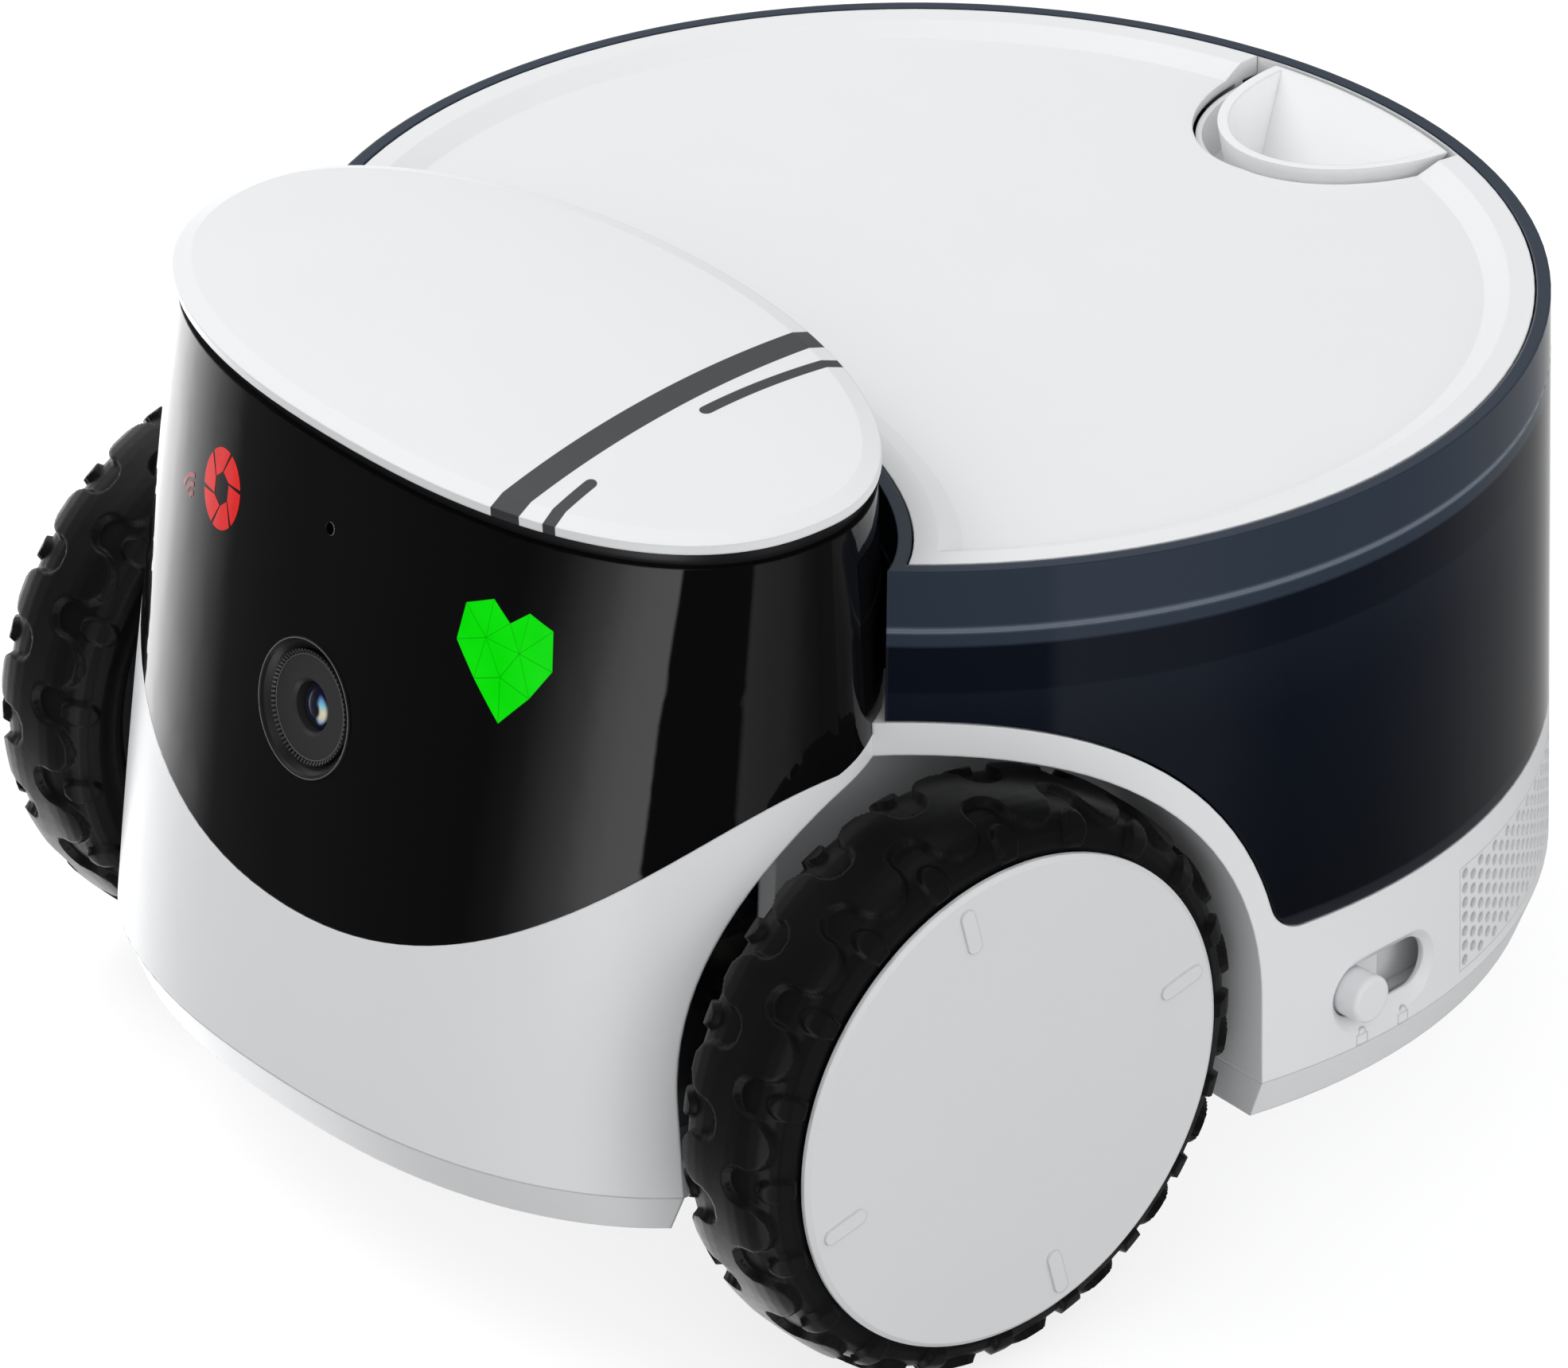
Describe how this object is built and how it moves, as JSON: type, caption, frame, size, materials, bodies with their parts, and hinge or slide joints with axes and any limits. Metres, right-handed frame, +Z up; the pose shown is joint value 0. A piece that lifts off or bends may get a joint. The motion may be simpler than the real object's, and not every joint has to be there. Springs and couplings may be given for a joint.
{
  "type": "two wheel robot car",
  "caption": "Small home robot on two large lugged wheels and a rear caster, with a camera head and a round lift-off treat bin.",
  "frame": {"origin": "on the floor, half way along the body and half way between the wheels", "axes": "+X robot's left, -Y the way it faces, +Z up"},
  "size_m": [0.2081, 0.2349, 0.1464],
  "materials": {
    "white_shell": "satin gloss",
    "face_black": "high gloss",
    "smoke_tint": "smoke-tinted, gloss",
    "smoke_rim": "smoke-tinted, gloss",
    "black_matte": "matt",
    "display_green": "lit green icon behind the panel",
    "display_red": "lit red icon behind the panel",
    "lens": "coated",
    "tyre_rubber": "moulded rubber",
    "soft_rubber": "matt",
    "circuit_board": "solder mask",
    "cell_wrap": "shrink wrap",
    "cable": "matt",
    "steel": "brushed",
    "bushing_brass": "turned",
    "gear_nylon": "moulded nylon"
  },
  "bodies": {
    "chassis": {"lower_shell": "white_shell", "base_pan": "white_shell", "battery_cover": "white_shell", "battery_pack": "cell_wrap", "cliff_windows": "black_matte", "charging_contacts": "bushing_brass", "base_screws": "steel", "face_panel": "face_black", "head_cap": "white_shell", "cap_gasket": "black_matte", "camera_bezel": "black_matte", "lens_barrel": "black_matte", "lens_glass": "lens", "camera_board": "circuit_board", "microphone": "black_matte", "proximity_window": "black_matte", "main_board": "circuit_board", "ribbon_cable": "cable", "dispenser_motor": "steel", "caster_socket": "black_matte", "lock_guide": "black_matte", "speaker_grille": "white_shell", "speaker_driver": "black_matte", "face_display_left": "display_green", "face_display_right": "display_red", "drive_motor_left": "steel", "motor_bracket_left": "steel", "axle_bushes_left": "bushing_brass", "drive_motor_right": "steel", "motor_bracket_right": "steel", "axle_bushes_right": "bushing_brass"},
    "wheel_left": {"tyre_left": "tyre_rubber", "wheel_rim_left": "black_matte", "hubcap_left": "white_shell", "axle_left": "steel", "hub_screw_left": "steel", "drive_gear_left": "gear_nylon"},
    "motor_pinion_left": {"pinion_left": "steel"},
    "wheel_right": {"tyre_right": "tyre_rubber", "wheel_rim_right": "black_matte", "hubcap_right": "white_shell", "axle_right": "steel", "hub_screw_right": "steel", "drive_gear_right": "gear_nylon"},
    "motor_pinion_right": {"pinion_right": "steel"},
    "caster_swivel": {"caster_fork": "black_matte", "caster_pin": "steel", "caster_clip": "steel"},
    "caster_roller": {"caster_wheel": "soft_rubber"},
    "bin": {"bin_tub": "smoke_tint", "bin_rim": "smoke_rim", "hopper_floor": "white_shell"},
    "rotor": {"dispenser_rotor": "white_shell"},
    "rotor_drive": {"drive_dog": "black_matte"},
    "lid": {"lid_plate": "white_shell", "lid_seal": "soft_rubber", "cup_pocket": "white_shell"},
    "cup": {"treat_cup": "white_shell"},
    "lock_slider": {"lock_knob": "white_shell"}
  },
  "joints": [
    {"name": "wheel_left_spin", "type": "hinge", "parent": "chassis", "child": "wheel_left", "pos_m": [0.088, -0.0503, 0.0485], "axis": [1, 0, 0], "continuous": true},
    {"name": "pinion_left_spin", "type": "hinge", "parent": "chassis", "child": "motor_pinion_left", "pos_m": [0.054, -0.065, 0.0485], "axis": [1, 0, 0], "continuous": true},
    {"name": "wheel_right_spin", "type": "hinge", "parent": "chassis", "child": "wheel_right", "pos_m": [-0.088, -0.0503, 0.0485], "axis": [1, 0, 0], "continuous": true},
    {"name": "pinion_right_spin", "type": "hinge", "parent": "chassis", "child": "motor_pinion_right", "pos_m": [-0.054, -0.065, 0.0485], "axis": [1, 0, 0], "continuous": true},
    {"name": "caster_turn", "type": "hinge", "parent": "chassis", "child": "caster_swivel", "pos_m": [0, 0.08, 0.03], "axis": [0, 0, 1], "continuous": true},
    {"name": "caster_roll", "type": "hinge", "parent": "caster_swivel", "child": "caster_roller", "pos_m": [0, 0.087, 0.01], "axis": [1, 0, 0], "continuous": true},
    {"name": "bin_lift", "type": "slide", "parent": "chassis", "child": "bin", "axis": [0, 0, 1], "range_m": [0, 0.09]},
    {"name": "rotor_spin", "type": "hinge", "parent": "bin", "child": "rotor", "pos_m": [0, 0.04, 0.062], "axis": [0, 0, 1], "continuous": true},
    {"name": "rotor_drive_spin", "type": "hinge", "parent": "chassis", "child": "rotor_drive", "pos_m": [0, 0.04, 0.057], "axis": [0, 0, 1], "continuous": true},
    {"name": "lid_lift", "type": "slide", "parent": "bin", "child": "lid", "axis": [0, 0, 1], "range_m": [0, 0.05]},
    {"name": "cup_lift", "type": "slide", "parent": "lid", "child": "cup", "axis": [0, 0, 1], "range_m": [0, 0.022]},
    {"name": "lock_slide", "type": "slide", "parent": "chassis", "child": "lock_slider", "axis": [-0.1054, 0.9944, 0], "range_m": [0, 0.0123]}
  ],
  "couplings": [
    {"joint": "pinion_left_spin", "follows": "wheel_left_spin", "ratio": -2.5},
    {"joint": "pinion_right_spin", "follows": "wheel_right_spin", "ratio": -2.5},
    {"joint": "rotor_drive_spin", "follows": "rotor_spin", "ratio": 1}
  ]
}
